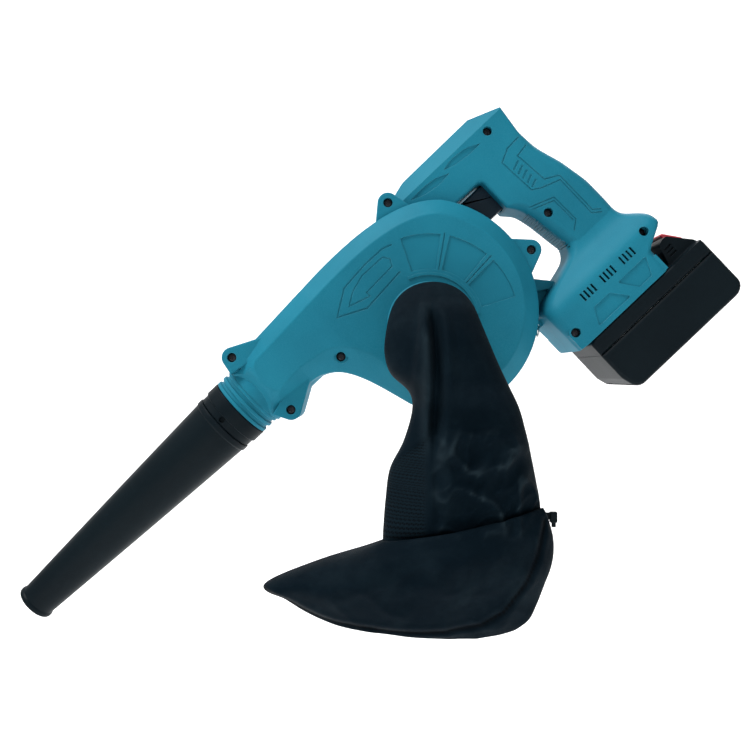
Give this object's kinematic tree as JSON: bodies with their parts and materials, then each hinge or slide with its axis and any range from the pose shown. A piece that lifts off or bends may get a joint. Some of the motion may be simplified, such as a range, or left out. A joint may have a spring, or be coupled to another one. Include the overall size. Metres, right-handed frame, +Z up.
{
  "type": "leaf blower",
  "caption": "Cordless handheld leaf blower with a scroll fan housing, tapered nozzle, slide-in battery and hanging cloth dust bag.",
  "frame": {"origin": "middle of the hand grip, on the casing's parting plane", "axes": "+Z up and +X towards the battery side of the carried tool, which points its nozzle down and to -X at 43.5 degrees; -Y is the side with the air inlet and bag"},
  "size_m": [0.5212, 0.184, 0.3764],
  "materials": {
    "teal_plastic": "fine moulded texture, satin",
    "black_plastic": "fine moulded texture, satin",
    "grey_plastic": "smooth moulded",
    "black_steel": "black oxide",
    "bright_steel": "zinc plated",
    "bronze": "sintered bronze",
    "magnet": "sintered ferrite",
    "copper": "laminations and varnished winding",
    "red_insulation": "smooth wire insulation",
    "black_insulation": "smooth wire insulation",
    "red_plastic": "smooth moulded",
    "bag_fabric": "thin coated woven cloth",
    "cell_wrap": "shrink sleeve"
  },
  "bodies": {
    "root": {"housing_left": "teal_plastic", "housing_right": "teal_plastic", "inlet_spigot": "black_plastic", "screw_duct_top": "black_steel", "screw_duct_bottom": "black_steel", "screw_arch": "black_steel", "screw_volute_top": "black_steel", "screw_volute_rear": "black_steel", "screw_arm_rear": "black_steel", "screw_grip": "black_steel", "screw_base_rear": "black_steel", "screw_base_front": "black_steel", "motor_plate": "bright_steel", "motor_can": "bright_steel", "motor_end_cap": "black_plastic", "front_bush": "bronze", "rear_bush": "bronze", "magnet_upper": "magnet", "magnet_lower": "magnet", "switch_body": "black_plastic", "terminal_block": "black_plastic", "battery_lead": "red_insulation", "motor_lead_red": "red_insulation", "motor_lead_black": "black_insulation", "trigger_spring": "bright_steel"},
    "fan": {"impeller": "grey_plastic", "motor_shaft": "bright_steel", "shaft_nut": "bright_steel", "rotor": "copper", "commutator": "copper"},
    "trigger": {"trigger": "black_plastic"},
    "battery": {"battery_tub": "black_plastic", "battery_lid": "black_plastic", "cell_1_1": "cell_wrap", "cell_1_2": "cell_wrap", "cell_1_3": "cell_wrap", "cell_1_4": "cell_wrap", "cell_1_5": "cell_wrap", "cell_2_1": "cell_wrap", "cell_2_2": "cell_wrap", "cell_2_3": "cell_wrap", "cell_2_4": "cell_wrap", "cell_2_5": "cell_wrap", "cell_strap_near": "bright_steel", "cell_strap_far": "bright_steel"},
    "release_button": {"release_button": "red_plastic"},
    "nozzle_sleeve": {"nozzle_sleeve": "black_plastic"},
    "nozzle_tube": {"nozzle_tube": "black_plastic"},
    "bag": {"bag_collar": "black_plastic", "bag_cloth": "bag_fabric", "zip_slider": "black_plastic"},
    "strap_ring": {"strap_ring": "bright_steel"}
  },
  "joints": [
    {"name": "fan_spin", "type": "hinge", "parent": "root", "child": "fan", "pos_m": [-0.09778, 0, -0.09279], "axis": [0, 1, 0], "continuous": true},
    {"name": "trigger_pull", "type": "slide", "parent": "root", "child": "trigger", "axis": [0.7254, 0, 0.6884], "range_m": [0, 0.006], "stiffness_N_per_m": 500, "springref_m": -0.002, "deforming": ["trigger_spring"]},
    {"name": "battery_slide", "type": "slide", "parent": "root", "child": "battery", "axis": [0.7254, 0, 0.6884], "range_m": [0, 0.1]},
    {"name": "button_press", "type": "slide", "parent": "battery", "child": "release_button", "axis": [0.6884, 0, -0.7254], "range_m": [0, 0.003], "stiffness_N_per_m": 600, "springref_m": -0.001},
    {"name": "nozzle_twist", "type": "hinge", "parent": "root", "child": "nozzle_sleeve", "pos_m": [-0.24204, 0, -0.15869], "axis": [0.7254, 0, 0.6884], "range_deg": [0, 30]},
    {"name": "nozzle_pull", "type": "slide", "parent": "nozzle_sleeve", "child": "nozzle_tube", "axis": [-0.7254, 0, -0.6884], "range_m": [0, 0.03]},
    {"name": "bag_twist", "type": "hinge", "parent": "root", "child": "bag", "pos_m": [-0.09778, 0, -0.09279], "axis": [0, 1, 0], "range_deg": [0, 20]},
    {"name": "ring_swing", "type": "hinge", "parent": "root", "child": "strap_ring", "pos_m": [-0.0143, -0.0016, -0.09215], "axis": [0, 1, 0], "range_deg": [-30, 30]}
  ]
}
